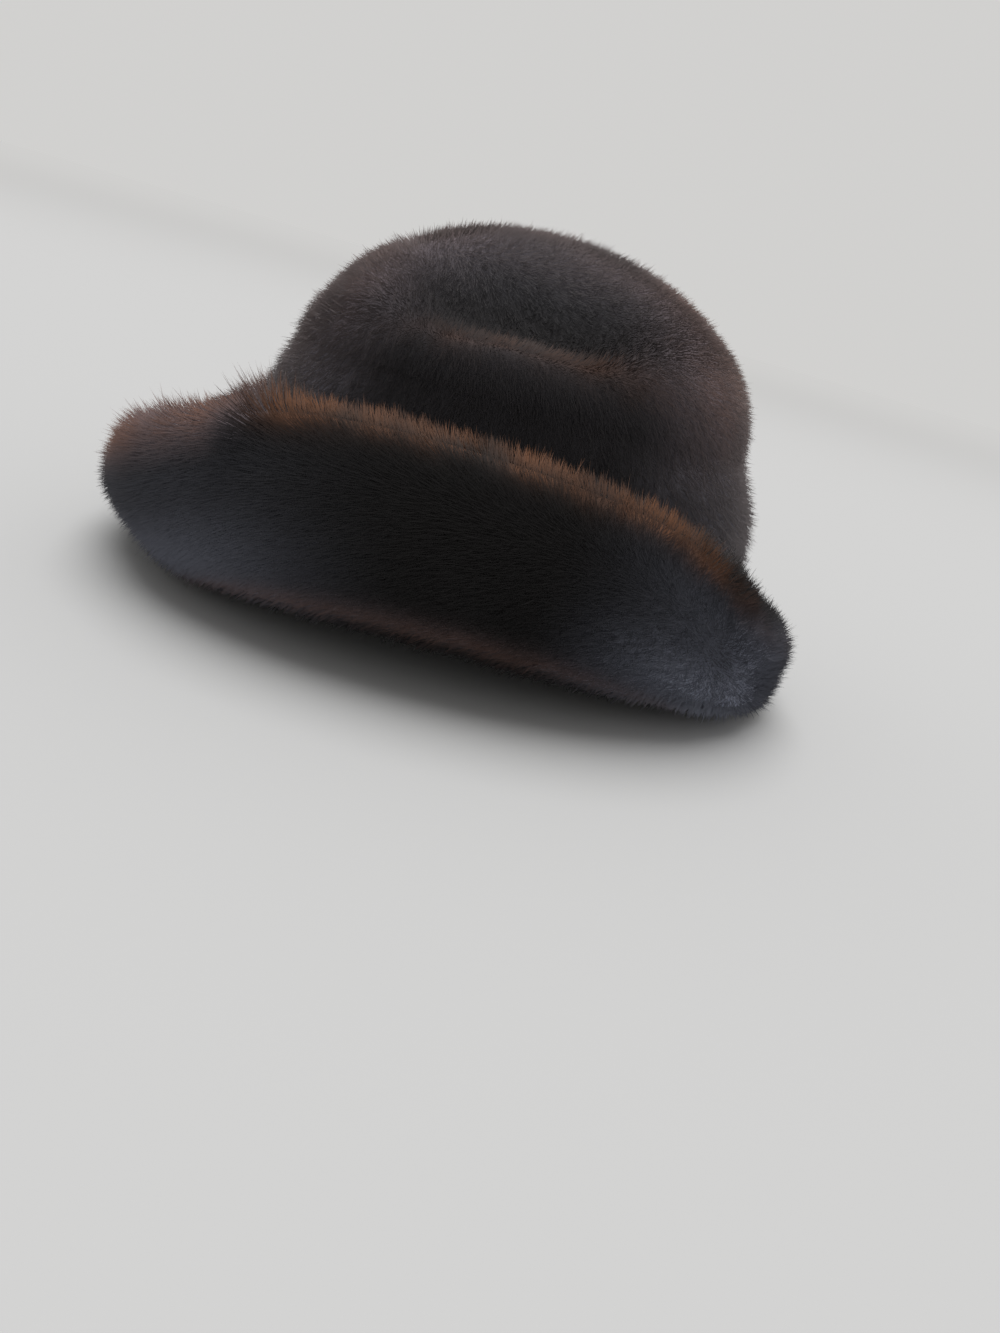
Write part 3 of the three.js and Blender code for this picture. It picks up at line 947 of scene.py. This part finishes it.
tipSkin, tipOuter = makeTipSkin()
tipFur = makeFurMaterial("tipFur", tip["sheen"])
tipSkin.data.materials.append(underfur)
fur = growFur("crown_tip_fur", tipSkin, tipOuter, tipFur, tip, tip["hairs"], tip["seed"])
furPieces.append((fur, tip["slot"]))
print("crown tip done")
bpy.data.objects.remove(hair)

# Camera, at the photograph's angle to the hat
view = {
    "aim": (0, 0.005, 0.075), "elevation": 9, "azimuth": 91, "distance": 0.483, "roll": 15.2,
    "aimPixel": (490, 457), "focalPixels": 1000, "imageSize": (1000, 1333), "sensorWidth": 36,
}


def makeCamera():
    e, a, r = (math.radians(view[name]) for name in ("elevation", "azimuth", "roll"))
    back = Vector((math.sin(a) * math.cos(e), -math.cos(a) * math.cos(e), math.sin(e)))
    right = Vector((0, 0, 1)).cross(back).normalized()
    up = back.cross(right)
    rolledRight = math.cos(r) * right + math.sin(r) * up
    rolledUp = math.cos(r) * up - math.sin(r) * right
    rolled = Matrix((rolledRight, rolledUp, back)).transposed()
    width, height = view["imageSize"]
    x, y = view["aimPixel"]
    toPixel = Vector(((x - width / 2) / view["focalPixels"], (height / 2 - y) / view["focalPixels"], -1))
    turn = Vector((0, 0, -1)).rotation_difference(toPixel).to_matrix()
    data = bpy.data.cameras.new("camera")
    data.sensor_width = view["sensorWidth"]
    data.lens = view["focalPixels"] * view["sensorWidth"] / max(view["imageSize"])
    camera = bpy.data.objects.new("camera", data)
    place = Matrix.Translation(Vector(view["aim"]) + back * view["distance"])
    camera.matrix_world = place @ (rolled @ turn.transposed()).to_4x4()
    bpy.context.collection.objects.link(camera)
    bpy.context.scene.camera = camera


makeCamera()

# Pale floor nearly as bright as the surroundings at any distance, so that the horizon hardly shows,
# and one wide soft lamp overhead
stage = {
    "surroundings": colour(0.64, 0.635, 0.625),
    "floorRadius": 60, "floorLevel": 0.985, "floorRoughness": 0.9,
    "lampHeight": 3.2, "lampSize": 3.0, "lampPower": 120, "lampShare": 1.42, "lampPlace": (0.25, -0.3),
}


def makeFloor():
    bpy.ops.mesh.primitive_circle_add(vertices=128, radius=stage["floorRadius"], fill_type="NGON")
    floor = bpy.context.object
    floor.name = "floor"
    material, start, shader = newMaterial("paleFloor", stage["floorRoughness"], 0)
    foot = (*stage["lampPlace"], 0)  # straight under the lamp
    across = start.node("ShaderNodeVectorMath", {"operation": "SUBTRACT"}, i0=placeValue(start), i1=foot)
    across = Value(start.tree, across.outputs["Vector"])
    away = start.node("ShaderNodeVectorMath", {"operation": "LENGTH"}, i0=across)
    # The lamp lights the floor less the further away it is, and the floor is paler there to make up for it
    steps = Value(start.tree, away.outputs["Value"]) * (1 / stage["lampHeight"])
    lampLight = stage["lampShare"] * (steps * steps + 1) ** -1.5
    level = stage["floorLevel"] * (lampLight + 1) ** -1
    start.tree.links.new(level.mixed(colour(0, 0, 0), colour(1, 1, 1)).socket, shader.inputs["Base Color"])
    floor.data.materials.append(material)


def makeLight():
    world = bpy.data.worlds.new("surroundings")
    world.use_nodes = True
    world.node_tree.nodes["Background"].inputs["Color"].default_value = stage["surroundings"]
    bpy.context.scene.world = world
    data = bpy.data.lights.new("overhead", "AREA")
    data.shape = "DISK"
    data.size = stage["lampSize"]
    data.energy = stage["lampPower"]
    light = bpy.data.objects.new("overhead", data)
    light.location = (*stage["lampPlace"], stage["lampHeight"])
    bpy.context.collection.objects.link(light)
    bpy.context.scene.view_settings.view_transform = "Standard"


makeFloor()
makeLight()
print("stage done")

skinPieces = [
    (brimSkin, "brim", brim["slot"]),
    (crownSkin, "crown_side", crown["slot"]),
    (tipSkin, "crown_tip", tip["slot"]),
]
for skin, node, slot in skinPieces:
    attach(skin, "root")
    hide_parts(node)
for fur, slot in furPieces:
    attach(fur, "root")
